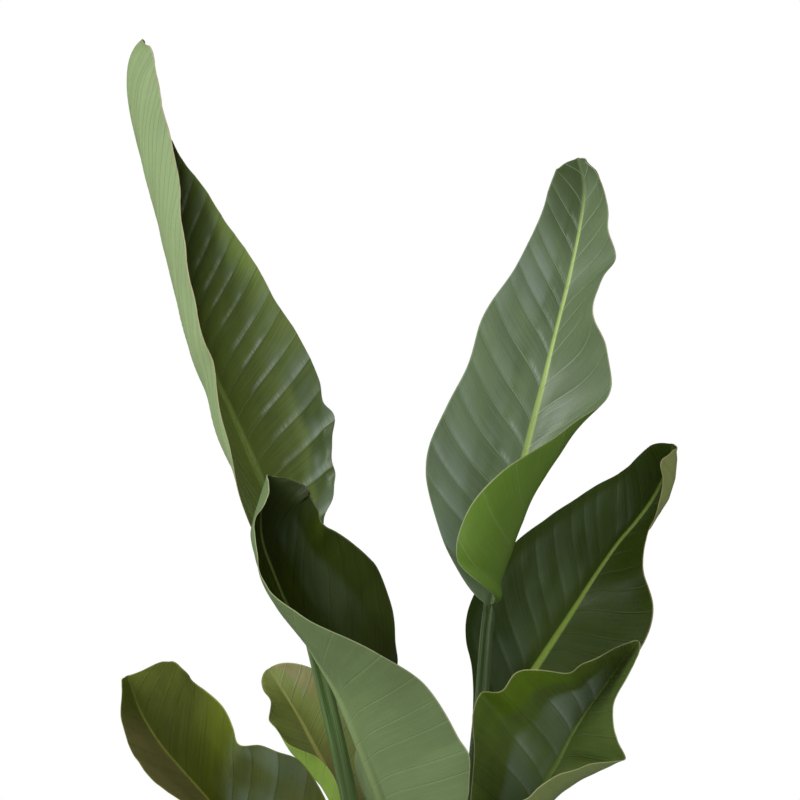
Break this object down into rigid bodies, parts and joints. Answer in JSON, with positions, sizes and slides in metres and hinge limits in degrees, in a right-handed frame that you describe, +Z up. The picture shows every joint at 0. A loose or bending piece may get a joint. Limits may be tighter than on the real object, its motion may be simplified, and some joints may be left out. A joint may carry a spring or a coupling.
{
  "type": "potted bird of paradise plant",
  "caption": "Tall bird of paradise plant: broad, ribbed, glossy leaves, some folded or twisted, on slim stalks that rise from potting mix in a plain round tapered pot.",
  "frame": {"origin": "middle of the flat underside of the pot", "axes": "+Z up the plant; -Y toward the side that the leaves show in the picture; +X to the right there"},
  "size_m": [0.4767, 0.3002, 1.1253],
  "materials": {
    "pot": "matte",
    "potting_mix": "matte",
    "leaf_mid_green": "satin",
    "leaf_grey_green": "satin",
    "leaf_dark_green": "satin",
    "leaf_olive": "satin"
  },
  "bodies": {
    "root": {"pot": "pot", "soil": "potting_mix", "leaf_upper_left": "leaf_mid_green", "leaf_front_twisted": "leaf_mid_green", "leaf_upper_right": "leaf_grey_green", "leaf_mid_right": "leaf_dark_green", "leaf_lower_right": "leaf_dark_green", "leaf_lower_left": "leaf_olive", "leaf_back_small": "leaf_olive"}
  },
  "joints": []
}
